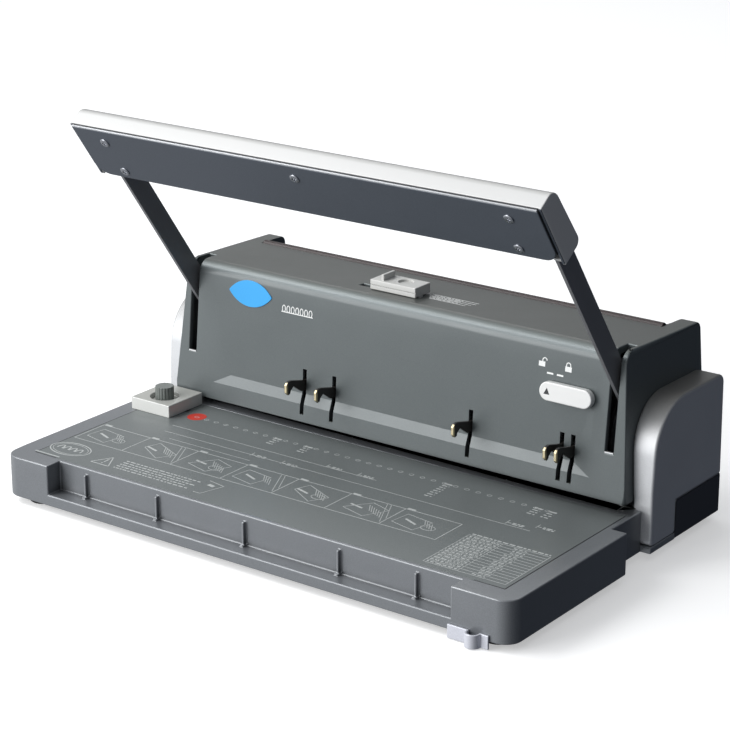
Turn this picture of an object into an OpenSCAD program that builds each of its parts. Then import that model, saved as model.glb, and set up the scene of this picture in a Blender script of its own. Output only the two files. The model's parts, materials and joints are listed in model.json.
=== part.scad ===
// Manual punch and bind machine: a flat base with a paper table, a punch housing across its back,
// and a two-armed handle that turns a cam shaft inside the housing.
// Millimetres. X is across the machine, Y runs from the front to the back, Z is up, floor at 0.

/* [Base] */
// Width of the base over its front half
base_w = 393; // [388:1:400]
// Distance from the housing's front face to the base's front edge
base_reach = 151; // [140:1:160]
// Height of the paper table above the floor
table_z = 32.4; // [32:0.1:33]
// Height of the rubber feet
foot_h = 5; // [4:0.5:6]
// Radius of the base's front corners
corner_r = 11; // [6:1:14]
// Wall of the base moulding
wall = 2.5; // [2:0.1:2.8]

/* [Housing] */
// Width of the housing at its foot
case_w = 359; // [357:1:359]
// Height of the housing's top edge above the floor
case_top = 131.5; // [131:0.5:134]
// Height of the paper throat under the housing
throat_h = 4.5; // [4.3:0.1:4.8]
// Backward lean of the front face in degrees
face_lean = 5.5; // [5:0.1:6]
// Depth of the housing from its front face to its back
case_d = 100; // [99:1:102]
// Radius of the housing's front top edge
brow_r = 9; // [7:1:10]

/* [Handle] */
// Width of the handle bar
handle_w = 352; // [346:1:356]
// Angle of the raised arms above the horizontal
handle_deg = 54.3; // [53:0.1:56]
// Distance of each arm from the middle of the machine
arm_x = 165.5; // [165:0.1:166]
// Distance from the pivot to the handle bar's outer edge
handle_reach = 218; // [210:1:225]
// Width of each arm
arm_w = 15; // [12:1:16]

/* [Punch] */
// Number of punch pins
pin_count = 34; // [24:2:34]
// Distance between neighbouring pins
pin_pitch = 8.467; // [8:0.001:8.467]
// Side of each square pin
pin_side = 3.96; // [3.5:0.01:3.98]
// Travel of the pressure bar
stroke = 8; // [7:0.5:8]

/* [Hooks] */
// Thickness of each wire hook
hook_t = 2; // [1.5:0.1:2.2]
// Travel of the hooks below their rest height
hook_drop = 16; // [10:1:16]

/* [Hidden] */

$fn = 64;
eps = 0.01;
arc_step = 7.5;                  // degrees between the points of a round
gap = 0.2;                       // clearance between neighbouring mouldings
latch_out = 6.8;                 // how far the pan latch stands in front of the base
screw_out = 1.5;                 // how far the rear screws stand behind the housing
// the housing's front foot, behind the middle of the footprint
face_y = (base_reach + latch_out - case_d - screw_out) / 2;

base_rear = 99.5;                // back of the base behind the housing's front foot
rim_rear = -25;                  // where the wide front part of the base ends
mid_w = 372;                     // width of the base just behind the wide part
rear_w = 358;                    // width of the base between the end caps
cap_front = 10;                  // front of the end caps
panel_t = 1.5;                   // paper table panel
pan_t = 2;                       // bottom pan
pan_screw_xs = [-150, 0, 150];
pan_screw_ys = [-120, -20];
foot_x = 177;
foot_front = -134;
foot_back = 84;
plinth_z = 9.5;                  // top of the strip below each end cap

recess_x0 = -158;                // front hand recess, from the left
recess_x1 = 155;                 // to the right
recess_d = 12;                   // its depth
recess_z = 12.6;                 // height of its ledge
rib_xs = [-134.6, -74.6, -4.7, 67.5, 123.8];

case_z0 = table_z + throat_h;    // foot of the housing
case_wall = 2.5;
face_wall = 3.5;
side_draft = 0.0797;             // how much the sides lean in, per unit of height
cheek_in = 160;                  // inner face of each rear cheek
top_rear = 73.2;                 // back edge of the housing's top
trough_z = 60;                   // floor of the rear closing trough
rear_screw_xs = [-140, 140];
rear_screw_z = 48;

cap_in = 173;                    // inner edge of the end caps, within the housing's side
cap_out = 193;                   // outer face of the end caps
cap_side_wall = 1.5;
cap_arc_r = 35;                  // round of the caps' front shoulder
cap_arc_z = 45;                  // height at which their front starts to lean back
cap_top = 100.1;

pivot_y = 39.4;                  // handle pivot behind the front face
pivot_z = 75;
shaft_r = 7;
spigot_r = 5.5;                  // shaft ends inside the arms
run_gap = 0.05;                  // radial running clearance
bush_r = 10;
arm_t = 2.5;
handle_screw_at = [[-151.5, -206], [0, -206], [151.5, -206], [-149, -180], [149, -180]];
frame_x = 156;                   // inner face of each side frame
frame_t = 3;
cam_r = 14;
cam_off = 10.4;
cam_xs = [-120, 0, 120];

pin_y = 46;                      // row of pins behind the front face
die_y0 = 36;
die_y1 = 57;
die_t = 6;
sheet_t = 1.5;                   // sheet steel above the paper throat
guide_t = 6;
bar_y0 = 22;
bar_y1 = 52;
bar_top = 60.4;
bar_t = 8.9;
post_x = 146;
post_r = 4;
spring_x = 150;
spring_y = 27;
bracket_x = 100;                 // closer bar brackets

hook_xs = [-69.5, -45, 63.3, 131, 139];
hook_gap = 0.6;                  // clearance beside each hook in its slot
hook_slot_z0 = 42.4;
hook_slot_z1 = 73;
rod_xs = [-20, 100];             // hook bar guide rods
rod_y = 13;
rod_r = 3;

lock_x = 134.5;                  // lock button
lock_z = 61.8;                   // its height along the front face
lock_w = 37.4;
lock_h = 12;

selector_x0 = -42;               // slot of the size selector
selector_x1 = 6.5;
selector_y = 31;
dish_x = -8;                         // finger dish in the selector
dish_y = 33.5;

lid_y = 76.2;                    // rear lid hinge
lid_z = 128;
lug_r = 2.7;                     // round of the lid about its hinge
lid_slope = 36;                  // fall of the lid behind the hinge, in degrees
lid_pin_r = 0.8;

guide_x0 = -187;                 // edge guide block
guide_x1 = -153.5;
knob_x = -170;
knob_y = -22;
drawer_y0 = 40;
drawer_y1 = 97;

function shoulder(z) = case_w / 2 - (z - case_z0) * side_draft;

// Moves a part from the housing's own frame, with its front foot at Y 0, to the footprint's middle.
module placed() translate([0, face_y, 0]) children();

// Frame of the leaning front face: Z runs up the face and Y goes into the housing.
module on_face() placed() translate([0, 0, case_z0]) rotate([-face_lean, 0, 0]) children();

// Frame of the arms: the arms point along -Y and the handle's back faces +Z.
module on_arm() placed() translate([0, pivot_y, pivot_z]) rotate([-handle_deg, 0, 0]) children();

// Extrudes a Y-Z outline along X, centred on the given place.
module along_x(x, length) translate([x, 0, 0]) rotate([90, 0, 90])
    linear_extrude(length, center = true) children();

function unit(v) = v / norm(v);

// Points of the round of radius q[2] at corner q, between its neighbours p and s.
function corner(p, q, s) = let (
    at = [q[0], q[1]],
    back = unit([p[0], p[1]] - at),
    ahead = unit([s[0], s[1]] - at),
    half = acos(back * ahead) / 2,
    middle = at + unit(back + ahead) * q[2] / sin(half),
    first = at + back * q[2] / tan(half) - middle,
    start = atan2(first[1], first[0]),
    turn = sign(cross(ahead, back)) * (180 - 2 * half),
    steps = ceil(abs(turn) / arc_step)
) q[2] == 0 ? [at] : [for (k = [0 : steps]) middle + q[2] * [cos(start + turn * k / steps),
    sin(start + turn * k / steps)]];

// Outline through the given corners, each with its place and the radius of its round.
module rounded(points) {
    n = len(points);
    polygon([for (i = [0 : n - 1]) each corner(points[(i + n - 1) % n], points[i], points[(i + 1) % n])]);
}

module box(x0, x1, y0, y1, z0, z1) translate([x0, y0, z0]) cube([x1 - x0, y1 - y0, z1 - z0]);

module both_sides() {
    children();
    mirror([1, 0, 0]) children();
}

module rod_x(x0, x1, y, z, r) translate([x0, y, z]) rotate([0, 90, 0]) cylinder(r = r, h = x1 - x0);

module rod_y(x, y0, y1, z, r) translate([x, y0, z]) rotate([-90, 0, 0]) cylinder(r = r, h = y1 - y0);

// ---- base ----

// Plan of the base, drawn in by the given amount.
module base_plan(inset) {
    front_w = base_w - 2 * inset;
    r = corner_r - inset;
    front = -base_reach + inset;
    translate([-front_w / 2, front + r]) square([front_w, rim_rear - inset - front - r]);
    translate([-front_w / 2 + r, front]) square([front_w - 2 * r, r + eps]);
    for (side = [-1, 1]) translate([side * (front_w / 2 - r), front + r]) circle(r);
    translate([-mid_w / 2 + inset, rim_rear - 20])
        square([mid_w - 2 * inset, cap_front - inset - rim_rear + 20]);
    translate([-rear_w / 2 + inset, 0]) square([rear_w - 2 * inset, base_rear - inset]);
}

module plinth() both_sides() box(rear_w / 2 - wall, cap_out, cap_front, base_rear, foot_h, plinth_z);

module hand_recess(grow, z0) box(recess_x0 - grow, recess_x1 + grow, -base_reach - 1,
    -base_reach + recess_d + grow, z0, table_z + 1);

module panel_plan(grow) translate([-182 - grow, -136 - grow]) square([364 + 2 * grow, 134 + 2 * grow]);

module base_shell() color([0.50, 0.52, 0.54]) placed() {
    difference() {
        union() {
            translate([0, 0, foot_h]) linear_extrude(table_z - foot_h) base_plan(0);
            plinth();
        }
        difference() {
            translate([0, 0, foot_h - 1]) linear_extrude(table_z - foot_h + 1 - wall - panel_t)
                base_plan(wall);
            hand_recess(wall, recess_z - wall);
            for (x = pan_screw_xs, y = pan_screw_ys) translate([x, y, 0]) cylinder(r = 5, h = table_z);
        }
        hand_recess(0, recess_z);
        translate([0, 0, table_z - panel_t]) linear_extrude(panel_t + 1) panel_plan(gap);
        box(-frame_x, frame_x, die_y0 - gap, die_y1 + gap, table_z - die_t - gap, table_z + 1);
        box(rear_w / 2 - wall - 1, cap_out + 1, drawer_y0 - gap, drawer_y1 + gap, foot_h - 1, 31.4);
        box(rear_w / 2 + gap, cap_out + 1, drawer_y0 - gap, base_rear + 1, foot_h - 1, plinth_z + 1);
        for (x = pan_screw_xs, y = pan_screw_ys) translate([x, y, foot_h - 1]) {
            cylinder(r = 5 + gap, h = pan_t + 1);
            cylinder(r = 1.5, h = 20);
        }
    }
    for (x = rib_xs) {
        box(x - 0.8, x + 0.8, -base_reach + recess_d - 2.4, -base_reach + recess_d, recess_z, table_z - 4);
        box(x - 1.6, x + 1.6, -base_reach + recess_d - 4, -base_reach + recess_d, recess_z, recess_z + 1.2);
    }
}

module paper_table() color([0.47, 0.50, 0.50]) placed()
    translate([0, 0, table_z - panel_t]) linear_extrude(panel_t) difference() {
        panel_plan(0);
        translate([recess_x0 - 5, -base_reach]) square([recess_x1 - recess_x0 + 10, recess_d]);
        translate([-181, -21]) square([29, 6]);
    }

module base_pan() color([0.16, 0.16, 0.17]) placed() translate([0, 0, foot_h])
    linear_extrude(pan_t) difference() {
        base_plan(wall + gap);
        translate([recess_x0 - wall - gap, -base_reach])
            square([recess_x1 - recess_x0 + 2 * (wall + gap), recess_d + wall + gap]);
        for (x = pan_screw_xs, y = pan_screw_ys) translate([x, y]) circle(1.8);
    }

module feet() color([0.08, 0.08, 0.08]) placed()
    for (x = [-1, 1], y = [foot_front, foot_back]) translate([x * (y > 0 ? 165 : foot_x), y, 0]) {
        cylinder(r1 = 10, r2 = 11, h = 2);
        translate([0, 0, 2 - eps]) cylinder(r = 11, h = foot_h - 2 + eps);
    }

module pan_screws() color([0.5, 0.5, 0.52]) placed()
    for (x = pan_screw_xs, y = pan_screw_ys) translate([x, y, 0]) {
        translate([0, 0, foot_h - 1.6]) cylinder(r = 3.5, h = 1.6);
        translate([0, 0, foot_h - eps]) cylinder(r = 1.45, h = 14);
    }

// Sprung strip with a thumb wave that locks the bottom pan.
module pan_latch() color([0.72, 0.73, 0.76]) placed() translate([0, -base_reach - 1.6, 0]) {
    wave_x = 172;
    translate([0, 0, 0.6]) linear_extrude(8.6) difference() {
        union() {
            translate([154, 0]) square([28, 1.4]);
            translate([wave_x, -0.2]) circle(5);
        }
        translate([wave_x, -0.2]) circle(3.6);
        translate([wave_x - 6, 1.4]) square([12, 6]);
        translate([wave_x - 3.6, 0]) square([7.2, 2]);
    }
    box(154, 164.5, 1.3, 20, foot_h - 1.9, foot_h - 0.3);
}

// ---- housing ----

// Side outline of the housing in Y-Z, with a round brow along its front top edge.
module case_outline() rounded([[0, case_z0, 0], [(case_top - case_z0) * tan(face_lean), case_top, brow_r],
    [case_d, case_top - 3.2, 5], [case_d, case_z0, 0]]);

// Front outline of the housing in X-Z, with round top corners.
module case_front_outline(inset) {
    top = case_top + 1;
    half = shoulder(top) - inset;
    foot = shoulder(case_z0 - 1) - inset;
    rounded([[-foot, case_z0 - 1, 0], [-half, top, 5], [half, top, 5], [foot, case_z0 - 1, 0]]);
}

module case_block() intersection() {
    along_x(0, case_w + 10) case_outline();
    rotate([90, 0, 0]) linear_extrude(300, center = true) case_front_outline(0);
    linear_extrude(300) rounded([[-case_w / 2, 0, 3], [-case_w / 2, case_d + 5, 0],
        [case_w / 2, case_d + 5, 0], [case_w / 2, 0, 3]]);
}

module case_hollow() intersection() {
    rotate([90, 0, 0]) linear_extrude(300, center = true) difference() {
        case_front_outline(case_wall);
        translate([-200, case_top - 3 - case_wall]) square([400, 10]);
    }
    union() {
        along_x(0, 400) polygon([[face_wall, case_z0 - 1], [face_wall + 6.7, 105],
            [face_wall + 14, case_top - 8], [face_wall + 20, case_top], [top_rear - case_wall, case_top],
            [top_rear - case_wall, case_z0 - 1]]);
        both_sides() box(cheek_in + case_wall, 200, top_rear - 5, case_d - case_wall, 0, 200);
        box(-200, 200, top_rear - 5, case_d - case_wall, 0, trough_z);
    }
}

module arm_slots() both_sides() translate([arm_x - 3, 0, 0]) {
    translate([0, -5, 67.5]) cube([6, 20, 80]);
    translate([0, -5, case_top - 20]) cube([6, 32, 40]);
}

module case_front() color([0.45, 0.49, 0.49]) difference() {
    placed() difference() {
        case_block();
        case_hollow();
        box(-cheek_in, cheek_in, top_rear, case_d + 5, 0, 200);
        arm_slots();
        both_sides() rod_x(cheek_in - 1, cheek_in + 4, lid_y, lid_z, lid_pin_r + run_gap);
        both_sides() box(bracket_x - 3, bracket_x + 3, top_rear - 4, top_rear + 1, 72, 98);
        for (x = hook_xs)
            box(x - hook_t / 2 - hook_gap, x + hook_t / 2 + hook_gap, -5, 8, hook_slot_z0, hook_slot_z1);
        box(selector_x0, selector_x1, selector_y - 2.5, selector_y + 2.5, case_top - 10, case_top + 5);
    }
    on_face() {
        intersection() {
            along_x(3.5, 330) polygon([[-1, 9], [0, 12.5], [2, 19.5], [0, 76], [-1, 76]]);
            linear_extrude(90) polygon([[-146, -1.5], [-146, 0], [-132, 2.1], [139, 2.1], [153, 0],
                [153, -1.5]]);
        }
        box(lock_x - 7, lock_x + 17, -1, 8, lock_z - 3, lock_z + 3);
    }
}

module rear_cover() color([0.20, 0.20, 0.21]) placed() {
    side = cheek_in - gap;
    box(-side, side, top_rear + 0.1, case_d - 2, trough_z, trough_z + case_wall);
    difference() {
        box(-side, side, case_d - 2.5, case_d, case_z0, trough_z + case_wall);
        for (x = rear_screw_xs) rod_y(x, case_d - 4, case_d + 1, rear_screw_z, 1.8);
    }
}

module rear_screws() color([0.55, 0.55, 0.57]) placed() for (x = rear_screw_xs) {
    rod_y(x, case_d, case_d + screw_out, rear_screw_z, 3.4);
    rod_y(x, case_d - 9, case_d + eps, rear_screw_z, 1.6);
}

// Outline of an end cap in Y-Z: a tall front with a large round shoulder.
module cap_outline(inset) {
    front = cap_front + inset;
    top = cap_top - inset;
    foot = plinth_z + 0.1 + inset;
    rear = base_rear - 1.5 - inset;
    rounded([[front, foot, 4], [front, cap_arc_z, 0], [front + 3.5, top, cap_arc_r - inset],
        [rear - 2, top - 1, 6], [rear, foot, 0]]);
}

module end_cap(drawer_side) difference() {
    intersection() {
        along_x(cap_out, 2 * (cap_out - cap_in + 1)) cap_outline(0);
        box(cap_in - 3, cap_out, 0, 150, 0, 150);
    }
    along_x((cap_in + cap_out - cap_side_wall) / 2, cap_out - cap_side_wall - cap_in) cap_outline(case_wall);
    case_side();
    box(cap_in - 3, rear_w / 2 + gap, 0, 150, 0, table_z + gap);
    if (drawer_side) box(cap_in - 3, 200, drawer_y0 - gap, drawer_y1 + 5, 0, 31.4);
}

// Everything that the housing fills beside an end cap.
module case_side() translate([0, -10, 0]) rotate([90, 0, 0]) translate([0, 0, -200])
    linear_extrude(200) polygon([[0, 0], [case_w / 2 + gap, 0], [case_w / 2 + gap, case_z0],
        [shoulder(200) + gap, 200], [0, 200]]);

module end_cap_left() color([0.78, 0.79, 0.80]) placed() mirror([1, 0, 0]) end_cap(false);

module end_cap_right() color([0.78, 0.79, 0.80]) placed() end_cap(true);

module badge() color([0.10, 0.60, 0.90]) on_face() translate([-117, 0, 79.5]) rotate([90, 0, 0])
    linear_extrude(0.6) intersection() {
        translate([0, 14]) circle(23);
        translate([0, -14]) circle(23);
    }

// ---- frame and punch ----

module side_frame() difference() {
    union() {
        along_x(frame_x + frame_t / 2, frame_t) polygon([[15, table_z], [94, table_z], [94, 58],
            [70, 60], [70, 112], [32, 118], [22, 100], [15, 60]]);
        box(frame_x, 171, 15, 34, table_z, table_z + 3);
        box(frame_x, 171, 60, 92, table_z, table_z + 3);
        rod_x(148, frame_x + eps, spring_y, 105, 2);
    }
    rod_x(frame_x - 1, frame_x + frame_t + 1, pivot_y, pivot_z, bush_r);
}

module side_frame_left() color([0.62, 0.64, 0.66]) placed() mirror([1, 0, 0]) side_frame();

module side_frame_right() color([0.62, 0.64, 0.66]) placed() side_frame();

module shaft_bushes() color([0.75, 0.58, 0.25]) placed() both_sides() difference() {
    union() {
        rod_x(frame_x, frame_x + frame_t, pivot_y, pivot_z, bush_r);
        rod_x(frame_x - 2, frame_x, pivot_y, pivot_z, bush_r + 3);
    }
    rod_x(frame_x - 3, frame_x + frame_t + 1, pivot_y, pivot_z, shaft_r + run_gap);
}

module pin_row(side, z0, z1) for (i = [0 : pin_count - 1])
    box((i - (pin_count - 1) / 2) * pin_pitch - side / 2, (i - (pin_count - 1) / 2) * pin_pitch + side / 2,
        pin_y - side / 2, pin_y + side / 2, z0, z1);

module die_plate() color([0.55, 0.56, 0.58]) placed() difference() {
    box(-frame_x + gap, frame_x - gap, die_y0, die_y1, table_z - die_t, table_z);
    pin_row(pin_side + 2 * run_gap, table_z - die_t - 1, table_z + 1);
}

module throat_spacers() color([0.55, 0.56, 0.58]) placed() both_sides()
    box(151, frame_x - gap, die_y0, die_y1, table_z, case_z0);

module guide_plate() color([0.58, 0.59, 0.61]) placed() difference() {
    box(-frame_x + gap, frame_x - gap, die_y0, die_y1, case_z0, case_z0 + guide_t);
    pin_row(pin_side + 2 * run_gap, case_z0 - 1, case_z0 + guide_t + 1);
}

module throat_guide() color([0.60, 0.62, 0.63]) placed()
    box(-155, 155, face_wall + 2, die_y0 - 0.3, case_z0, case_z0 + sheet_t);

module paper_stop() color([0.50, 0.52, 0.54]) placed()
    box(-150.5, 150.5, pin_y + 4, die_y1, table_z, case_z0);

module tie_rods() color([0.66, 0.67, 0.69]) placed() {
    rod_x(-frame_x, frame_x, 60, 106, 4);
    rod_x(-frame_x, frame_x, 64.5, 46, 4);
}

module guide_posts() color([0.72, 0.73, 0.75]) placed() both_sides()
    translate([post_x, pin_y, case_z0 + guide_t]) cylinder(r = post_r, h = 23);

module hook_rods() color([0.72, 0.73, 0.75]) placed() for (x = rod_xs)
    translate([x, rod_y, case_z0 + sheet_t]) cylinder(r = rod_r, h = 50);

module closer_bed() color([0.62, 0.64, 0.66]) placed() difference() {
    box(-155, 155, 77, 93, trough_z + case_wall, trough_z + case_wall + 8);
    rod_x(-160, 160, 85, trough_z + case_wall + 11, 6);
}

module lid_pins() color([0.72, 0.73, 0.75]) placed() both_sides()
    rod_x(154, cheek_in + case_wall, lid_y, lid_z, lid_pin_r);

// ---- handle ----

// Section of the handle bar in the arms' frame.
module handle_section(inset) {
    outer = handle_reach - inset;
    inner = 170 + inset;
    back = 6.2 - inset;
    rounded([[-outer, -12.5, 0], [-outer, back - 2.5, 8 - inset], [-inner, back, 5 - inset],
        [-inner, -12.5, 0]]);
}

module handle_cover() color([0.92, 0.92, 0.90]) on_arm() difference() {
    along_x(0, handle_w) handle_section(0);
    difference() {
        along_x(0, handle_w - 5) handle_section(2.2);
        for (p = handle_screw_at) translate([p[0], p[1], -12.5]) cylinder(r = 4, h = 30);
    }
    along_x(0, handle_w - 5) translate([-handle_reach + 2.2, -13])
        square([handle_reach - 172.2, 2]);
    both_sides() box(arm_x - arm_t / 2 - 0.2, arm_x + arm_t / 2 + 0.2, -178, -165, -20, 4);
    for (p = handle_screw_at) translate([p[0], p[1], -14]) cylinder(r = 1.5, h = 11);
}

module handle_plate() color([0.36, 0.38, 0.41]) on_arm() translate([0, 0, -14.5])
    linear_extrude(2) difference() {
        union() {
            translate([-174, -216.5]) square([348, 33]);
            translate([-164, -184]) square([328, 10.5]);
            for (side = [-1, 1]) translate([side * 164, -183.5]) circle(10);
        }
        for (p = handle_screw_at) translate(p) circle(1.8);
    }

module handle_screws() color([0.70, 0.70, 0.72]) on_arm() {
    for (p = handle_screw_at) translate([p[0], p[1], -16]) {
        cylinder(r = 3.6, h = 1.5);
        cylinder(r = 1.45, h = 12);
    }
}

module arm() on_arm() difference() {
    union() {
        box(arm_x - arm_t / 2, arm_x + arm_t / 2, -168, 0, -arm_w / 2, arm_w / 2);
        box(arm_x - arm_t / 2, arm_x + arm_t / 2, -212, -167, -arm_w / 2, 1);
        rod_x(arm_x - arm_t / 2, arm_x + arm_t / 2, 0, 0, 12);
    }
    rod_x(150, 180, 0, 0, spigot_r + run_gap);
}

module arm_left() color([0.16, 0.16, 0.17]) mirror([1, 0, 0]) arm();

module arm_right() color([0.16, 0.16, 0.17]) arm();

module pivot_shaft() color([0.60, 0.61, 0.63]) on_arm() {
    rod_x(-arm_x + arm_t / 2, arm_x - arm_t / 2, 0, 0, shaft_r);
    rod_x(-arm_x - arm_t / 2, arm_x + arm_t / 2, 0, 0, spigot_r);
}

module press_cams() color([0.45, 0.46, 0.48]) placed() for (x = cam_xs) difference() {
    rod_x(x - 6, x + 6, pivot_y - cam_off, pivot_z, cam_r);
    rod_x(x - 7, x + 7, pivot_y, pivot_z, shaft_r);
}

module arm_bolts() color([0.30, 0.30, 0.32]) on_arm() both_sides()
    rod_x(arm_x + arm_t / 2, arm_x + arm_t / 2 + 3, 0, 0, 8);

module pressure_bar() color([0.50, 0.52, 0.55]) placed() difference() {
    box(-154.5, 154.5, bar_y0, bar_y1, bar_top - bar_t, bar_top);
    both_sides() translate([post_x, pin_y, 0]) cylinder(r = post_r + run_gap, h = 100);
}

module punch_pins() color([0.75, 0.76, 0.78]) placed()
    pin_row(pin_side, case_z0 + 0.3, bar_top - bar_t);

module closer_bar() color([0.58, 0.60, 0.62]) placed() {
    difference() {
        box(-150, 150, 79, 91, 84, 93);
        rod_x(-160, 160, 85, 81, 6);
    }
    both_sides() along_x(bracket_x, 4) polygon([[47.5, bar_top], [52, bar_top], [60, 84], [79, 84],
        [79, 93], [54, 93], [49.5, 84]]);
}

// Close-wound springs that lift the pressure bar, each a stack of wire rings.
module return_springs() color([0.70, 0.71, 0.73]) placed() both_sides()
    translate([spring_x, spring_y, bar_top]) rotate_extrude($fn = 24) union() {
        translate([2.6, 0.2]) square([0.8, 42]);
        for (i = [0 : 20]) translate([3, 1.2 + i * 2]) circle(0.9, $fn = 16);
    }

// ---- wire hooks, lock and size selector ----

module hook_bar() color([0.42, 0.43, 0.45]) placed() difference() {
    union() {
        box(-74, 144, 8.5, 11, 57, 67);
        for (x = rod_xs) box(x - 6, x + 6, 8.5, 18, 57, 67);
    }
    for (x = rod_xs) translate([x, rod_y, 0]) cylinder(r = rod_r + run_gap, h = 100);
}

module wire_hooks() color([0.14, 0.12, 0.10]) placed() for (x = hook_xs)
    along_x(x, hook_t) union() {
        polygon([[8.5, 66], [3.2, 66], [-11, 69.6], [-14.2, 69.4], [-16.2, 67.6], [-16.2, 62.2],
            [-14.2, 60.2], [-12.2, 60.8], [-11.6, 62.6], [-8.4, 65], [0, 59], [8.5, 59]]);
    }

module pill(width, height) {
    r = height / 2;
    translate([-width / 2 + r, -r]) square([width - height, height]);
    for (side = [-1, 1]) translate([side * (width / 2 - r), 0]) circle(r);
}

module lock_slider() color([0.92, 0.92, 0.92]) on_face() {
    translate([lock_x, -0.3, lock_z]) rotate([90, 0, 0]) linear_extrude(5) pill(lock_w, lock_h);
    box(lock_x - 6, lock_x + 6, -1, 4, lock_z - 2.8, lock_z + 2.8);
}

module lock_shoe() color([0.30, 0.31, 0.33]) on_face()
    box(lock_x - 11, lock_x + 11, 4, 6, lock_z - 7, lock_z + 7);

module size_selector() color([0.86, 0.86, 0.84]) placed() {
    top = case_top + 6.4;
    difference() {
        box(-30, 6, 24, 41, case_top - 0.2, top);
        translate([dish_x, dish_y, top - 1.4]) cylinder(r = 5, h = 3);
        box(-31, 7, 23, 24.4, case_top + 2.7, case_top + 3.3);
    }
    box(-22.5, -20.3, 26, 39, top - eps, top + 4);
    box(-6, 6, selector_y - 2, selector_y + 2, case_top - 6, case_top);
}

module selector_stop() color([0.40, 0.41, 0.43]) placed()
    for (i = [0 : 3]) box(-14 + i * 7, -7 + i * 7, 26, 36, case_top - 12 - i * 3, case_top - 6);

// ---- edge guide, drawer and rear lid ----

module edge_guide() color([0.84, 0.85, 0.83]) placed() {
    difference() {
        box(guide_x0, guide_x1, -37, -2, table_z, table_z + 8.6);
        translate([knob_x, knob_y, table_z + 5.6]) cylinder(r = 10, h = 5);
        translate([knob_x, knob_y, table_z - 1]) cylinder(r = 3 + run_gap, h = 12);
    }
    difference() {
        box(-176, -157, -20.9, -15.1, table_z - panel_t + 0.05, table_z + eps);
        translate([knob_x, knob_y, table_z - 3]) cylinder(r = 3 + run_gap, h = 12);
    }
}

module guide_knob() color([0.43, 0.45, 0.44]) placed() translate([knob_x, knob_y, 0]) {
    translate([0, 0, table_z + 0.1]) cylinder(r = 3, h = 6);
    translate([0, 0, table_z + 5.8]) difference() {
        cylinder(r = 6.4, h = 10);
        for (i = [0 : 17]) rotate(i * 20) translate([6.8, 0, 1.5]) cylinder(r = 0.8, h = 10, $fn = 8);
    }
}

module chip_drawer() color([0.20, 0.20, 0.22]) placed() difference() {
    box(-150, rear_w / 2 - 6, drawer_y0 + 0.8, drawer_y1 - 2, 7.1, 24);
    box(-148.2, rear_w / 2 - 8, drawer_y0 + 2.6, drawer_y1 - 3.8, 8.9, 25);
}

module drawer_front() color([0.09, 0.10, 0.12]) placed() {
    box(rear_w / 2 + gap, cap_out, drawer_y0, drawer_y1, foot_h + 0.6, 31);
    box(rear_w / 2 - 6, rear_w / 2 + gap + eps, drawer_y0 + 0.8, drawer_y1 - 2, 7.1, 24);
}

// Height of the lid's sloping roof, which leaves the round about the hinge at a tangent.
function lid_roof(y) = lid_z + lug_r / cos(lid_slope) - (y - lid_y) * tan(lid_slope);

module rear_lid() color([0.42, 0.22, 0.20, 0.6]) placed() difference() {
    along_x(0, 319) difference() {
        rounded([[lid_y - lug_r, lid_roof(lid_y - lug_r), lug_r], [97, lid_roof(97), 5], [99.8, 64, 0],
            [lid_y - lug_r, 64, 0]]);
        polygon([[lid_y - lug_r - 1, 63], [lid_y - lug_r - 1, lid_z - lug_r], [lid_y + lug_r, lid_z - lug_r],
            [94.4, lid_roof(94.4) - 3], [97.6, 63]]);
    }
    both_sides() rod_x(153.5, 161, lid_y, lid_z, lid_pin_r + run_gap);
}

base_shell();
paper_table();
base_pan();
feet();
pan_screws();
pan_latch();
case_front();
rear_cover();
rear_screws();
end_cap_left();
end_cap_right();
side_frame_left();
side_frame_right();
shaft_bushes();
die_plate();
throat_spacers();
guide_plate();
throat_guide();
paper_stop();
tie_rods();
guide_posts();
hook_rods();
closer_bed();
lid_pins();
badge();
handle_cover();
handle_plate();
handle_screws();
arm_left();
arm_right();
pivot_shaft();
press_cams();
arm_bolts();
pressure_bar();
punch_pins();
closer_bar();
return_springs();
hook_bar();
wire_hooks();
lock_slider();
lock_shoe();
size_selector();
selector_stop();
edge_guide();
guide_knob();
chip_drawer();
drawer_front();
rear_lid();
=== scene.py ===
"""The looks of a punch and wire-binding machine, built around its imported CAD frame. Metres."""
import json
import math
import random

import bmesh
import bpy
from mathutils import Matrix, Vector


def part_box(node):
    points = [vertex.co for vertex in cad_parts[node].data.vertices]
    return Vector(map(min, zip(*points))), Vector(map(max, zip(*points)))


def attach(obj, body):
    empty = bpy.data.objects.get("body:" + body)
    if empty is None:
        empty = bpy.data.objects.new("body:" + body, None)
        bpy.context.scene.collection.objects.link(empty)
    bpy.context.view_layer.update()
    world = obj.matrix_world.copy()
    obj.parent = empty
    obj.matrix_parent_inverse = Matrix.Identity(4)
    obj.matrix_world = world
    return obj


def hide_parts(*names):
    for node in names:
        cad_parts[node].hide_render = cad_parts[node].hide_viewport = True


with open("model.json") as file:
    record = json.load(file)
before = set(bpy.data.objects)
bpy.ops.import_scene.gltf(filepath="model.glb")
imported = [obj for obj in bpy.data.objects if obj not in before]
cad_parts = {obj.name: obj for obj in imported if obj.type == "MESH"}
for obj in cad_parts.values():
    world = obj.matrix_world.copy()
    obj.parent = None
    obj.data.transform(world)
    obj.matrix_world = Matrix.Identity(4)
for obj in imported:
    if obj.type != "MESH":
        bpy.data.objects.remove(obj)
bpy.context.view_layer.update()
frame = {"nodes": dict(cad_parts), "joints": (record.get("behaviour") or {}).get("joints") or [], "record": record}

MM = 0.001

# How far the housing's face leans back, its top falls to the rear and the handle is raised.
FACE_LEAN = math.radians(5.5)
TOP_FALL = math.radians(2.0)
HANDLE_RISE = math.radians(54.3)
# The top's plane passes this far above the rounded brow where it meets the face's plane.
BROW_RISE = 0.3 * MM

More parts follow.
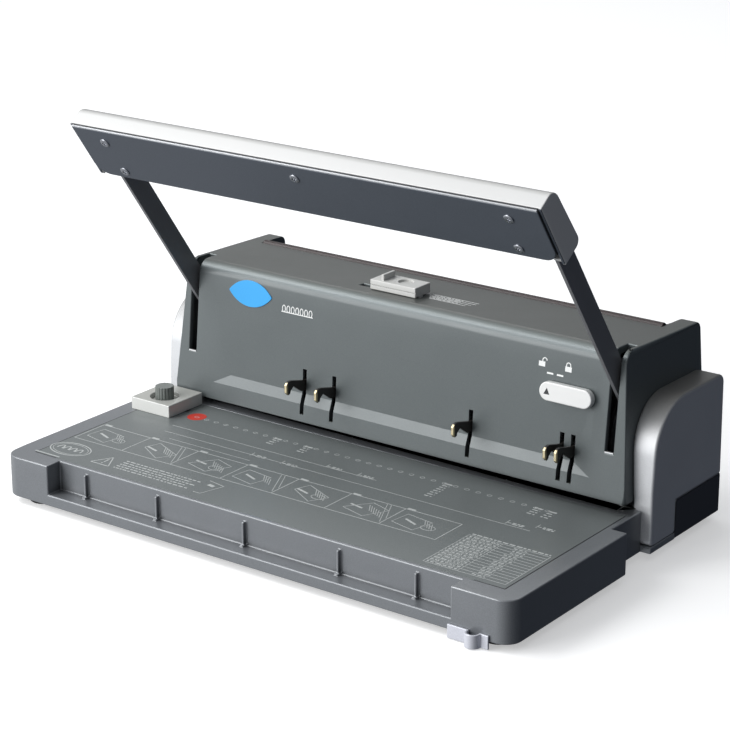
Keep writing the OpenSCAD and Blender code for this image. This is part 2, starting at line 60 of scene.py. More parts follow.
# Edges sharper than ROUND_ANGLE get a round, which takes at most ROUND_SHARE of the narrower face
# beside it and is left out below LEAST_ROUND of its full width. Duller edges stay a crease from
# CREASE_ANGLE up, if both their faces are CREASE_ROOM wide.
ROUND_ANGLE = math.radians(32)
CREASE_ANGLE = math.radians(12)
CREASE_ROOM = 5 * MM
ROUND_SHARE = 0.3
LEAST_ROUND = 0.08
MERGE_GAP = 0.01 * MM
FLAT_ANGLE = math.radians(0.5)

# In millimetres: how far ink reaches below and above its surface, and above the housing's face.
INK_ROOT = -0.02
INK_RISE = 0.05
FACE_INK_RISE = 0.06

nodes = frame["nodes"]
body_of_node = {n: b for b, ns in frame["record"]["behaviour"]["bodies"].items() for n in ns}
slot_of_node = {s["node"]: s["material_slot"] for s in frame["record"]["subparts"]}

case_low, case_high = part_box("case_front")
face_y = case_low.y
table_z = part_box("paper_table")[1].z
hinge = next(j for j in frame["joints"] if j["name"] == "handle_hinge")

arm_x = (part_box("arm_right")[0].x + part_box("arm_right")[1].x) / 2 / MM
arm_plane = Matrix.Translation(hinge["pos_m"]) @ Matrix.Rotation(-HANDLE_RISE, 4, "X")
facing_down = Matrix.Rotation(math.pi, 4, "X")
facing_back = Matrix.Rotation(-math.pi / 2, 4, "X")
table_plane = Matrix.Translation((0, face_y, table_z))
face_turn = Matrix.Rotation(math.pi / 2 - FACE_LEAN, 4, "X")
face_plane = Matrix.Translation((0, face_y, case_low.z)) @ face_turn
brow_y = face_y + (case_high.z - case_low.z) * math.tan(FACE_LEAN)
top_turn = Matrix.Rotation(-TOP_FALL, 4, "X")
top_plane = Matrix.Translation((0, brow_y, case_high.z + BROW_RISE)) @ top_turn


# ---- camera, lights and floor ----

def make_camera():
    data = bpy.data.cameras.new("camera")
    data.lens = 117.23
    data.sensor_width = 36
    camera = bpy.data.objects.new("camera", data)
    camera.location = (0.84729, face_y - 1.17066, 0.58591)
    camera.rotation_euler = (math.radians(71.11), 0, math.radians(36.42))
    bpy.context.scene.collection.objects.link(camera)
    bpy.context.scene.camera = camera


def area_light(name, place, size, power):
    """A rectangular light that looks at the middle of the object."""
    middle = Vector((0, 0, 0.08))
    data = bpy.data.lights.new(name, "AREA")
    data.shape = "RECTANGLE"
    data.size, data.size_y = size
    data.energy = power
    light = bpy.data.objects.new(name, data)
    light.location = place
    light.rotation_euler = (middle - Vector(place)).to_track_quat("-Z", "Y").to_euler()
    bpy.context.scene.collection.objects.link(light)


def make_world():
    """A soft studio surround, bright at the front left and dark and bluish at the back right."""
    world = bpy.data.worlds.new("studio")
    bpy.context.scene.world = world
    world.use_nodes = True
    tree = world.node_tree
    background = tree.nodes["Background"]
    coordinates = tree.nodes.new("ShaderNodeTexCoord")
    towards_dark = tree.nodes.new("ShaderNodeVectorMath")
    towards_dark.operation = "DOT_PRODUCT"
    towards_dark.inputs[1].default_value = Vector((0.80, 0.52, -0.30)).normalized()
    position = tree.nodes.new("ShaderNodeMapRange")
    position.inputs["From Min"].default_value = -0.85
    position.inputs["From Max"].default_value = 0.5
    ramp = tree.nodes.new("ShaderNodeValToRGB")
    ramp.color_ramp.elements[0].color = (0.80, 0.82, 0.84, 1)
    ramp.color_ramp.elements[1].color = (0.038, 0.045, 0.062, 1)
    tree.links.new(coordinates.outputs["Generated"], towards_dark.inputs[0])
    tree.links.new(towards_dark.outputs["Value"], position.inputs["Value"])
    tree.links.new(position.outputs["Result"], ramp.inputs["Fac"])
    tree.links.new(ramp.outputs["Color"], background.inputs["Color"])


def make_floor():
    bpy.ops.mesh.primitive_plane_add(size=60)
    floor = bpy.context.object
    floor.name = "floor"
    floor.visible_diffuse = False
    floor.visible_glossy = False
    material = bpy.data.materials.new("floor_pale")
    material.use_nodes = True
    shader = material.node_tree.nodes["Principled BSDF"]
    shader.inputs["Base Color"].default_value = (0.80, 0.80, 0.80, 1)
    shader.inputs["Roughness"].default_value = 1.0
    shader.inputs["Specular IOR Level"].default_value = 0.0
    shader.inputs["Emission Color"].default_value = (1, 1, 1, 1)
    shader.inputs["Emission Strength"].default_value = 0.42
    floor.data.materials.append(material)


# ---- materials ----

def add_node(tree, kind, **values):
    """A shader node with the given properties and input values."""
    node = tree.nodes.new(kind)
    for key, value in values.items():
        if hasattr(node, key):
            setattr(node, key, value)
        else:
            node.inputs[key.replace("_", " ")].default_value = value
    return node


def scaled(colour, factor):
    """An opaque colour, brightened or darkened by a factor."""
    return tuple(min(1.0, c * factor) for c in colour) + (1,)


def painted_facing_light(tree, colour_out, direction, stops):
    """Paints light and shade: multiplies a colour by tints that follow how far a face looks along a direction at
    rest.
    """
    lean = add_node(tree, "ShaderNodeVectorMath", operation="DOT_PRODUCT")
    lean.inputs[1].default_value = direction
    ramp = add_node(tree, "ShaderNodeValToRGB")
    while len(ramp.color_ramp.elements) < len(stops):
        ramp.color_ramp.elements.new(0.5)
    for element, (position, tint) in zip(ramp.color_ramp.elements, stops):
        element.position = position
        element.color = (*tint, 1)
    mix = add_node(tree, "ShaderNodeMix", data_type="RGBA", blend_type="MULTIPLY")
    mix.inputs["Factor"].default_value = 1.0
    tree.links.new(add_node(tree, "ShaderNodeTexCoord").outputs["Normal"], lean.inputs[0])
    tree.links.new(lean.outputs["Value"], ramp.inputs["Fac"])
    tree.links.new(colour_out, mix.inputs["A"])
    tree.links.new(ramp.outputs["Color"], mix.inputs["B"])
    return mix.outputs["Result"]


def painted_crevice_shade(tree, colour_out, reach):
    """Paints shade into narrow slots and inner corners of the same piece by darkening its colour."""
    shadow = add_node(tree, "ShaderNodeAmbientOcclusion", samples=6, only_local=True)
    shadow.inputs["Distance"].default_value = reach
    share = add_node(tree, "ShaderNodeMapRange", From_Min=0.15, From_Max=0.75, To_Min=0.10, To_Max=1.0)
    mix = add_node(tree, "ShaderNodeMix", data_type="RGBA", blend_type="MULTIPLY")
    mix.inputs["Factor"].default_value = 1.0
    tree.links.new(shadow.outputs["AO"], share.inputs["Value"])
    tree.links.new(colour_out, mix.inputs["A"])
    tree.links.new(share.outputs["Result"], mix.inputs["B"])
    return mix.outputs["Result"]


def surface(name, colour, rough=0.5, metal=0.0, grain=1500, bump=0.15, mottle=0.05, flake=0.0,
            wear_and_sheen=0.15, coat=0.0, brushed=None, painted_light=None, crevice_shade=0.0):
    """A procedural finish: mottled colour, flakes, edges paled partly by wear and partly by a painted highlight,
    uneven roughness and a fine grain, and where asked painted light and shade by facing and painted shade in
    crevices.
    """
    material = bpy.data.materials.new(name)
    material.use_nodes = True
    tree = material.node_tree
    shader = tree.nodes["Principled BSDF"]
    place = add_node(tree, "ShaderNodeTexCoord").outputs["Object"]
    if brushed:
        stretch = add_node(tree, "ShaderNodeMapping")
        stretch.inputs["Scale"].default_value = brushed
        tree.links.new(place, stretch.inputs["Vector"])
        grain_place = stretch.outputs["Vector"]
    else:
        grain_place = place
    cloud = add_node(tree, "ShaderNodeTexNoise", Scale=38.0, Detail=4.0)
    fine = add_node(tree, "ShaderNodeTexNoise", Scale=float(grain), Detail=2.0)
    tree.links.new(place, cloud.inputs["Vector"])
    tree.links.new(grain_place, fine.inputs["Vector"])

    mottled = add_node(tree, "ShaderNodeMix", data_type="RGBA")
    mottled.inputs["A"].default_value = scaled(colour, 1 - mottle)
    mottled.inputs["B"].default_value = scaled(colour, 1 + mottle)
    tree.links.new(cloud.outputs["Fac"], mottled.inputs["Factor"])
    colour_out = mottled.outputs["Result"]
    if flake:
        spots = add_node(tree, "ShaderNodeMapRange",
                         From_Min=0.35, From_Max=0.65, To_Min=1 - flake, To_Max=1 + flake)
        spotted = add_node(tree, "ShaderNodeMix", data_type="RGBA", blend_type="MULTIPLY")
        spotted.inputs["Factor"].default_value = 1.0
        tree.links.new(fine.outputs["Fac"], spots.inputs["Value"])
        tree.links.new(colour_out, spotted.inputs["A"])
        tree.links.new(spots.outputs["Result"], spotted.inputs["B"])
        colour_out = spotted.outputs["Result"]
    # Pale edges: partly wear, partly a painted highlight along the edges.
    if wear_and_sheen:
        edge = add_node(tree, "ShaderNodeNewGeometry")
        wear_and_sheen_share = add_node(tree, "ShaderNodeMapRange",
                        From_Min=0.53, From_Max=0.62, To_Min=0.0, To_Max=wear_and_sheen)
        worn_and_lit = add_node(tree, "ShaderNodeMix", data_type="RGBA")
        paler = [c + 0.12 for c in colour]
        worn_and_lit.inputs["B"].default_value = scaled(paler, 1.5)
        tree.links.new(edge.outputs["Pointiness"], wear_and_sheen_share.inputs["Value"])
        tree.links.new(wear_and_sheen_share.outputs["Result"], worn_and_lit.inputs["Factor"])
        tree.links.new(colour_out, worn_and_lit.inputs["A"])
        colour_out = worn_and_lit.outputs["Result"]
    # Painted light and shade by the way each face looks.
    if painted_light:
        colour_out = painted_facing_light(tree, colour_out, *painted_light)
    # Painted shade in narrow slots and inner corners, over the reach given.
    if crevice_shade:
        colour_out = painted_crevice_shade(tree, colour_out, crevice_shade)
    tree.links.new(colour_out, shader.inputs["Base Color"])

    spread = 0.06
    uneven = add_node(tree, "ShaderNodeMapRange", To_Min=max(0.03, rough - spread), To_Max=rough + spread)
    tree.links.new(cloud.outputs["Fac"], uneven.inputs["Value"])
    tree.links.new(uneven.outputs["Result"], shader.inputs["Roughness"])
    shader.inputs["Metallic"].default_value = metal
    shader.inputs["Coat Weight"].default_value = coat
    shader.inputs["Coat Roughness"].default_value = 0.2
    if bump:
        relief = add_node(tree, "ShaderNodeBump", Strength=bump, Distance=0.08 * MM)
        tree.links.new(fine.outputs["Fac"], relief.inputs["Height"])
        tree.links.new(relief.outputs["Normal"], shader.inputs["Normal"])
    return material


# Tints that stand in for how the studio's light fell on each side of the object: a direction, then
# pairs of how far along it a face looks, from 0 to 1, and the tint there.
UP = (0, 0, 1)
HANDLE_BACK = (0, math.sin(HANDLE_RISE), math.cos(HANDLE_RISE))
CASE_TONE = (UP, [(0.1, (0.56, 0.56, 0.56)), (0.38, (0.55, 0.55, 0.55)), (0.66, (1, 1, 1)),
                  (0.86, (0.88, 0.87, 0.83)), (0.99, (0.46, 0.43, 0.39))])
SILVER_TONE = (UP, [(0.15, (1, 1, 1)), (0.99, (0.30, 0.29, 0.27))])
PALE_TONE = (UP, [(0.8, (1, 1, 1)), (0.99, (0.72, 0.72, 0.70))])
COVER_TONE = (HANDLE_BACK, [(0.05, (1, 1, 1)), (0.3, (0.86, 0.86, 0.85)), (0.55, (0.6, 0.6, 0.59)),
                            (0.85, (0.36, 0.36, 0.36))])


def tipped(name, colour, tip_colour, tip_y, fade):
    """Black paint that gives way to bright metal in front of the given place along Y."""
    material = surface(name, colour, rough=0.38, metal=0.3, grain=1200, bump=0.2)
    tree = material.node_tree
    shader = tree.nodes["Principled BSDF"]
    painted = shader.inputs["Base Color"].links[0].from_socket
    place = add_node(tree, "ShaderNodeTexCoord").outputs["Object"]
    split = add_node(tree, "ShaderNodeSeparateXYZ")
    share = add_node(tree, "ShaderNodeMapRange", From_Min=tip_y, From_Max=tip_y - fade)
    mix = add_node(tree, "ShaderNodeMix", data_type="RGBA")
    mix.inputs["B"].default_value = (*tip_colour, 1)
    tree.links.new(place, split.inputs[0])
    tree.links.new(split.outputs["Y"], share.inputs["Value"])
    tree.links.new(share.outputs["Result"], mix.inputs["Factor"])
    tree.links.new(share.outputs["Result"], shader.inputs["Metallic"])
    tree.links.new(painted, mix.inputs["A"])
    tree.links.new(mix.outputs["Result"], shader.inputs["Base Color"])
    return material


def make_materials():
    """A finish for each of the record's material slots, for the inks, and for what differs in its slot."""
    hook_tip_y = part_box("wire_hooks")[0].y + 1.7 * MM
    return {
        "base_plastic": surface("base_plastic", (0.178, 0.188, 0.201), rough=0.36, metal=0.3, grain=2600,
                                bump=0.12, flake=0.10, wear_and_sheen=0.5, coat=0.25, crevice_shade=9 * MM),
        "table_plastic": surface("table_plastic", (0.162, 0.178, 0.178), rough=0.42, metal=0.2, grain=2600,
                                 bump=0.16, flake=0.08, wear_and_sheen=0.0),
        "case_plastic": surface("case_plastic", (0.184, 0.212, 0.217), rough=0.42, metal=0.2, grain=2600,
                                bump=0.12, flake=0.09, wear_and_sheen=0.0, coat=0.15, painted_light=CASE_TONE,
                                crevice_shade=5 * MM),
        "silver_plastic": surface("silver_plastic", (0.60, 0.61, 0.625), rough=0.46, metal=0.4,
                                  grain=3000, bump=0.08, flake=0.08, painted_light=SILVER_TONE,
                                  crevice_shade=4 * MM),
        "black_plastic": surface("black_plastic", (0.026, 0.029, 0.037), rough=0.5, grain=1600,
                                 bump=0.3),
        "latch_plastic": surface("latch_plastic", (0.62, 0.63, 0.69), rough=0.4, metal=0.3, flake=0.05),
        "white_plastic": surface("white_plastic", (0.76, 0.76, 0.75), rough=0.36, metal=0.1, grain=2600,
                                 bump=0.06, mottle=0.02, wear_and_sheen=0.05),
        "cover_plastic": surface("cover_plastic", (0.62, 0.62, 0.612), rough=0.42, grain=2600,
                                 bump=0.05, mottle=0.02, wear_and_sheen=0.05, painted_light=COVER_TONE),
        "selector_plastic": surface("selector_plastic", (0.56, 0.56, 0.54), rough=0.4, grain=2200,
                                    bump=0.08, mottle=0.03, crevice_shade=2 * MM),
        "pale_plastic": surface("pale_plastic", (0.60, 0.605, 0.58), rough=0.42, metal=0.15, grain=2200,
                                bump=0.10, mottle=0.03, painted_light=PALE_TONE, crevice_shade=3 * MM),
        "knob_plastic": surface("knob_plastic", (0.15, 0.165, 0.155), rough=0.4, grain=1800,
                                crevice_shade=1.5 * MM),
        "blue_plastic": surface("blue_plastic", (0.02, 0.36, 0.80), rough=0.3, grain=1800, bump=0.05,
                                coat=0.3, wear_and_sheen=0.0),
        "smoked_plastic": surface("smoked_plastic", (0.030, 0.018, 0.018), rough=0.45, grain=900,
                                  bump=0.03, wear_and_sheen=0.0),
        "plate_paint": surface("plate_paint", (0.085, 0.098, 0.12), rough=0.42, metal=0.35, grain=2400,
                               bump=0.15, flake=0.10, wear_and_sheen=0.0),
        "arm_paint": surface("arm_paint", (0.21, 0.212, 0.222), rough=0.4, metal=0.3, grain=2200,
                             bump=0.2),
        "hook_black": tipped("hook_black", (0.016, 0.013, 0.011), tip_colour=(0.72, 0.62, 0.40),
                             tip_y=hook_tip_y, fade=0.5 * MM),
        "steel": surface("steel", (0.50, 0.51, 0.53), rough=0.32, metal=1.0, grain=420, bump=0.15,
                         brushed=(0.04, 1.0, 1.0)),
        "spring_steel": surface("spring_steel", (0.56, 0.57, 0.59), rough=0.3, metal=1.0, bump=0.1),
        "screw_steel": surface("screw_steel", (0.40, 0.41, 0.44), rough=0.24, metal=1.0, bump=0.1),
        "bronze": surface("bronze", (0.58, 0.40, 0.16), rough=0.4, metal=1.0, bump=0.25),
        "rubber": surface("rubber", (0.012, 0.012, 0.013), rough=0.8, bump=0.4, grain=900),
        # Brightened plate paint for the painted highlight on the handle plate's lip.
        "lip_highlight_paint": surface("lip_highlight_paint", (0.44, 0.45, 0.47), rough=0.35, metal=0.4, bump=0.05),
        "ink_pale": surface("ink_pale", (0.50, 0.52, 0.51), rough=0.5, bump=0.05, wear_and_sheen=0.0),
        "ink_white": surface("ink_white", (0.82, 0.83, 0.82), rough=0.5, bump=0.05, wear_and_sheen=0.0),
        "ink_red": surface("ink_red", (0.55, 0.035, 0.02), rough=0.5, bump=0.05, mottle=0.15, wear_and_sheen=0.0),
        # Dark ink for print and seams, also used for the painted shadow in the handle's seam.
        "dark_ink_and_shadow": surface("dark_ink_and_shadow", (0.02, 0.022, 0.025), rough=0.5, bump=0.05, wear_and_sheen=0.0),
    }


# ---- mesh helpers ----

def new_piece(name, bm, material, body, smooth=True):
    """Turns a bmesh into a piece of one material that rides on a body.
    """
    mesh = bpy.data.meshes.new(name)
    bmesh.ops.recalc_face_normals(bm, faces=bm.faces)
    bm.to_mesh(mesh)
    bm.free()
    piece = bpy.data.objects.new(name, mesh)
    bpy.context.scene.collection.objects.link(piece)
    mesh.materials.append(materials[material])
    if smooth:
        shade_by_angle(piece)
    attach(piece, body)
    return piece


def shade_by_angle(piece):
    piece.data.shade_smooth()
    piece.data.set_sharp_from_angle(angle=ROUND_ANGLE)


def clean_copy(node):
    """The CAD node's shape as a bmesh of whole flat faces, ready for rounding."""
    bm = bmesh.new()
    bm.from_mesh(nodes[node].data)
    bmesh.ops.remove_doubles(bm, verts=bm.verts, dist=MERGE_GAP)
    bmesh.ops.dissolve_limit(bm, angle_limit=FLAT_ANGLE, verts=bm.verts, edges=bm.edges)
    return bm


def room_beside(edge):
    """How far the narrower of an edge's two faces reaches away from the edge."""
    start = edge.verts[0].co
    along = (edge.verts[1].co - start).normalized()
    return min(max((v.co - start).cross(along).length for v in face.verts)
               for face in edge.link_faces)


def crisp_zones():
    """Boxes around small slots and the thin-walled drawer opening, where a round would break a face."""
    hooks, shoe, drawer = (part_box(n) for n in ("wire_hooks", "lock_shoe", "drawer_front"))
    slots_foot, slots_top, wall_back = 42 * MM, 73.5 * MM, face_y + 9 * MM
    lock_margin = 8 * MM
    hook_slots = (Vector((hooks[0].x - 2 * MM, face_y - MM, slots_foot)),
                  Vector((hooks[1].x + 2 * MM, wall_back, slots_top)))
    lock_slot = (shoe[0] - Vector((0, lock_margin, 0)), shoe[1] + Vector((lock_margin, 0, 0)))
    drawer_opening = (drawer[0] - Vector((MM, MM, 2 * MM)), drawer[1] + Vector((MM, MM, MM)))
    return {"case_front": [hook_slots, lock_slot], "base_shell": [drawer_opening]}


def stays_crisp(edge, zones):
    middle = (edge.verts[0].co + edge.verts[1].co) / 2
    return any(all(low[i] < middle[i] < high[i] for i in range(3)) for low, high in zones)


def rounded_node(node, width, segments=2, material=None):
    """A copy of a CAD node with rounded edges, shown in its place. Narrow faces get smaller rounds."""
    bm = clean_copy(node)
    zones = crisp_zones().get(node, [])
    weights = bm.edges.layers.float.new("bevel_weight_edge")
    for edge in bm.edges:
        if len(edge.link_faces) != 2:
            continue
        angle = edge.calc_face_angle(0)
        if angle <= ROUND_ANGLE:
            edge.smooth = angle < CREASE_ANGLE or room_beside(edge) < CREASE_ROOM
            continue
        weight = min(1.0, ROUND_SHARE * room_beside(edge) / (width * MM))
        if weight <= LEAST_ROUND or stays_crisp(edge, zones):
            weight = 0.0
        edge[weights] = weight
        edge.smooth = edge[weights] > 0
    slot = slot_of_node[node]
    piece = new_piece(node + "_moulding", bm, material or slot, body_of_node[node], smooth=False)
    for face in piece.data.polygons:
        face.use_smooth = True
    rounding = piece.modifiers.new("rounding", "BEVEL")
    rounding.limit_method = "WEIGHT"
    rounding.width = width * MM
    rounding.segments = segments
    rounding.use_clamp_overlap = False
    weighted = piece.modifiers.new("weighted", "WEIGHTED_NORMAL")
    weighted.weight = 100
    weighted.keep_sharp = True
    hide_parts(node)


def block(bm, plane, x, y, z):
    """A box in a plane's own millimetres, each side given as a pair of limits."""
    prism(bm, plane, [(x[0], y[0]), (x[1], y[0]), (x[1], y[1]), (x[0], y[1])], *z)


def prism(bm, plane, outline, low, high):
    """A closed prism over an outline given in millimetres in a plane's own X and Y."""
    rings = [[bm.verts.new(plane @ Vector((x * MM, y * MM, z * MM))) for x, y in outline]
             for z in (low, high)]
    count = len(outline)
    bm.faces.new(rings[1])
    bm.faces.new(list(reversed(rings[0])))
    for i in range(count):
        j = (i + 1) % count
        bm.faces.new((rings[0][i], rings[0][j], rings[1][j], rings[1][i]))


def stroke(bm, plane, start, end, width, height=INK_RISE):
    """A flat printed stroke between two points of a plane."""
    start, end = Vector(start), Vector(end)
    side = (end - start).normalized().orthogonal() * width / 2
    prism(bm, plane, [start - side, end - side, end + side, start + side], INK_ROOT, height)


def arc_points(centre, radii, first, last, count):
    """Points on part of an ellipse, from one angle to another in degrees."""
    steps = [math.radians(first + (last - first) * i / count) for i in range(count + 1)]
    return [(centre[0] + radii[0] * math.cos(a), centre[1] + radii[1] * math.sin(a)) for a in steps]


def path(bm, plane, points, width, height=INK_RISE):
    """A stroke that runs from point to point."""
    for a, b in zip(points, points[1:]):
        stroke(bm, plane, a, b, width, height)


def ellipse(bm, plane, centre, radii, width, count):
    path(bm, plane, arc_points(centre, radii, 0, 360, count), width)


def dashes(bm, plane, start, length, width, rng):
    """A row of short dashes that stands for a line of small print."""
    words, gaps = (1.2, 4.2), (0.7, 1.2)
    at = 0.0
    while at < length:
        run = min(rng.uniform(*words), length - at)
        first = (start[0] + at, start[1])
        stroke(bm, plane, first, (first[0] + run, start[1]), width)
        at += run + rng.uniform(*gaps)


# ---- CAD nodes ----

# The width of each moulding's rounded edges in millimetres, and the segments across a round.
ROUNDS = {
    "base_shell": (0.9, 3), "paper_table": (0.12, 1), "feet": (0.8, 2), "pan_latch": (0.35, 2),
    "case_front": (0.8, 3), "rear_cover": (0.5, 2), "end_cap_left": (1.6, 3), "end_cap_right": (1.6, 3),
    "badge": (0.15, 1), "handle_cover": (0.7, 2), "handle_plate": (0.5, 2), "arm_left": (0.3, 2),
    "arm_right": (0.3, 2), "wire_hooks": (0.3, 2), "lock_slider": (0.8, 3), "size_selector": (0.5, 2),
    "edge_guide": (0.5, 2), "guide_knob": (0.25, 1), "chip_drawer": (0.4, 1), "drawer_front": (0.7, 2),
    "rear_lid": (0.5, 2), "base_pan": (0.3, 1),
}

# Mouldings whose plastic looks different from the rest of their slot.
OWN_FINISH = {"handle_cover": "cover_plastic", "size_selector": "selector_plastic"}


def dress_nodes():
    """Every CAD node gets its finish, and the visible mouldings get rounded edges."""
    for node, thing in nodes.items():
        thing.data.materials.clear()
        thing.data.materials.append(materials[slot_of_node[node]])
    for node, (width, segments) in ROUNDS.items():
        rounded_node(node, width, segments, OWN_FINISH.get(node))


# ---- small hardware ----

def loose_parts(node):
    """The points of each separate solid of a CAD node."""
    same_point = 0.002 * MM
    bm = bmesh.new()
    bm.from_mesh(nodes[node].data)
    bmesh.ops.remove_doubles(bm, verts=bm.verts, dist=same_point)
    seen, parts = set(), []
    for start in bm.verts:
        if start in seen:
            continue
        seen.add(start)
        found = [start]
        # The list grows while it is walked, from each point to its neighbours.
        for vert in found:
            near = [e.other_vert(vert) for e in vert.link_edges]
            near = [v for v in near if v not in seen]
            seen.update(near)
            found.extend(near)
        parts.append([v.co.copy() for v in found])
    bm.free()
    return parts


def ring(bm, place, radius, z):
    """A ring of points at a height over a place, in millimetres."""
    count = 24
    steps = [2 * math.pi * i / count for i in range(count)]
    return [bm.verts.new(place @ (MM * Vector((radius * math.cos(a), radius * math.sin(a), z))))
            for a in steps]


def join_rings(bm, low, high):
    for i in range(len(low)):
        j = (i + 1) % len(low)
        bm.faces.new((low[i], low[j], high[j], high[i]))


def screw(bm, place, radius, height, shank_radius, shank):
    """A domed screw with a cross recess, its head standing on the place's XY plane."""
    profile = [(shank_radius, -shank), (shank_radius, 0), (radius, 0), (radius, 0.4 * height),
               (0.93 * radius, 0.7 * height), (0.8 * radius, 0.93 * height), (0.66 * radius, height)]
    rings = [ring(bm, place, r, z) for r, z in profile]
    for low, high in zip(rings, rings[1:]):
        join_rings(bm, low, high)
    bm.faces.new(list(reversed(rings[0])))
    arm, half, recess_floor = 0.5 * radius, 0.12 * radius, 0.35 * height
    quarter = [(arm, -half), (arm, half), (half, half)]
    outline = [Matrix.Rotation(math.pi / 2 * i, 2) @ Vector(p) for i in range(4) for p in quarter]
    rim, floor = [[bm.verts.new(place @ (MM * Vector((x, y, z)))) for x, y in outline]
                  for z in (height, recess_floor)]
    join_rings(bm, floor, rim)
    bm.faces.new(floor)
    edges = [bm.edges.get((a, b)) for loop in (rings[-1], rim)
             for a, b in zip(loop, loop[1:] + loop[:1])]
    bmesh.ops.triangle_fill(bm, use_beauty=True, edges=edges)


def dress_screws(node, outward, head, dome):
    """Cross-head screws in place of a node's plain ones, whose heads look along outward's Z.

    The CAD's heads are head millimetres tall. The ones made here are domed to dome millimetres.
    """
    shank_radius, head_clearance = 1.4, 0.2
    bm = bmesh.new()
    back = outward.inverted()
    for points in loose_parts(node):
        points = [back @ p for p in points]
        low = Vector([min(p[i] for p in points) for i in range(3)])
        high = Vector([max(p[i] for p in points) for i in range(3)])
        middle = (low + high) / 2
        place = outward @ Matrix.Translation((middle.x, middle.y, high.z - head * MM))
        radius = (high.x - low.x) / 2 / MM - head_clearance
        screw(bm, place, radius, dome, shank_radius, (high.z - low.z) / MM - head)
    piece = new_piece(node + "_cross", bm, slot_of_node[node], body_of_node[node])
    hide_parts(node)


def handle_edge_light_and_shade():
    """A pale strip along the plate's upper edge that paints its highlight, a dark strip that paints the shadow in
    the seam between it and the cover, and strips in plate paint that paint shade over the cover's lower end edges.
    """
    low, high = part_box("handle_cover")
    half = (high.x - low.x) / 2 / MM
    tip, tip_inside, heel = -217.3, -216.5, -171.5
    seam_top = -12.45
    # Painted highlight along the plate's upper edge.
    lip = bmesh.new()
    block(lip, arm_plane, (-half + 2.2, half - 2.6), (tip, tip_inside), (-14.3, -13.3))
    new_piece("handle_lip_highlight", lip, "lip_highlight_paint", "handle", smooth=False)
    # Painted shadow in the seam between plate and cover.
    seam = bmesh.new()
    block(seam, arm_plane, (-half + 1.8, half - 2.2), (tip - 0.4, tip_inside), (-13.2, seam_top))
    block(seam, arm_plane, (half - 2.5, half - 1.9), (tip_inside, -180), (-14.2, seam_top))
    new_piece("handle_seam_shadow", seam, "dark_ink_and_shadow", "handle", smooth=False)
    # Painted shade over the cover's lower end edges, in plate paint.
    ends = bmesh.new()
    for side in (-1, 1):
        x = sorted((side * (half - 1.8), side * (half - 0.3)))
        block(ends, arm_plane, x, (tip, heel), (-13.0, -12.4))
    new_piece("handle_end_shade", ends, "plate_paint", "handle", smooth=False)


def slot_lip_highlights():
    """Pale silver strips at the lower end of each arm slot that paint the highlight on its lip."""
    slot_foot_z, half_width = 67.5, 3.0
    bm = bmesh.new()
    foot = (slot_foot_z - case_low.z / MM) / math.cos(FACE_LEAN)
    for side in (-1, 1):
        x = side * arm_x
        block(bm, face_plane, (x - half_width, x + half_width), (foot - 0.1, foot + 0.7), (-1.6, 0.15))
    new_piece("slot_lip_highlights", bm, "silver_plastic", "machine", smooth=False)


def table_seam():
    """The dark parting line down the paper table's sides and around its front corners."""
    low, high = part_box("paper_table")
    left, right = low.x / MM, high.x / MM
    front, back = (low.y - face_y) / MM, -4
    left_run, right_run, width, height = 18, 21, 0.5, 0.02
    bm = bmesh.new()
    path(bm, table_plane, [(left, back), (left, front), (left + left_run, front)], width, height)
    path(bm, table_plane, [(right, back), (right, front), (right - right_run, front)], width, height)
    new_piece("table_seam", bm, "dark_ink_and_shadow", "machine", smooth=False)


# ---- print on the paper table ----

def pictogram(bm, corner, kind):
    """A generic drawing of a sheet, a tool and a few strokes inside one instruction frame."""
    x, y = corner
    sheets = [
        [(x + 6, y - 6), (x + 26, y - 9), (x + 22, y - 25), (x + 4, y - 21), (x + 6, y - 6)],
        [(x + 12, y - 4), (x + 34, y - 14), (x + 27, y - 26), (x + 8, y - 15), (x + 12, y - 4)],
        [(x + 8, y - 20), (x + 20, y - 4), (x + 35, y - 9), (x + 26, y - 25), (x + 8, y - 20)],
    ]
    path(bm, table_plane, sheets[kind % 3], 0.4)
    stroke(bm, table_plane, (x + 9, y - 13), (x + 19, y - 17 + kind % 3), 1.5)
    for i in range(4 + kind % 3):
        stroke(bm, table_plane, (x + 20 + 2.4 * i, y - 8 - i), (x + 25 + 2.2 * i, y - 16 - i), 0.45)
    if kind % 2:
        stroke(bm, table_plane, (x + 28, y - 1), (x + 40, y - 26), 0.4)
        stroke(bm, table_plane, (x + 31, y - 1), (x + 40.5, y - 20), 0.4)
    else:
        ellipse(bm, table_plane, (x + 28, y - 17), (5, 3.4), 0.4, 14)


def instruction_strip(bm):
    """The row of framed pictures along the table's middle."""
    frames, pitch, left, top, bottom = 7, 41.4, -180, -72.5, -101.3
    right = left + frames * pitch
    for y in (top, bottom):
        stroke(bm, table_plane, (left, y), (right, y), 0.42)
    for i in range(frames + 1):
        x = left + pitch * i
        stroke(bm, table_plane, (x, top), (x, bottom), 0.55)
        if i < frames:
            stroke(bm, table_plane, (x + 0.5, top + 1.1), (x + 6.5, top + 1.1), 1.9)
            pictogram(bm, (x, top), i)


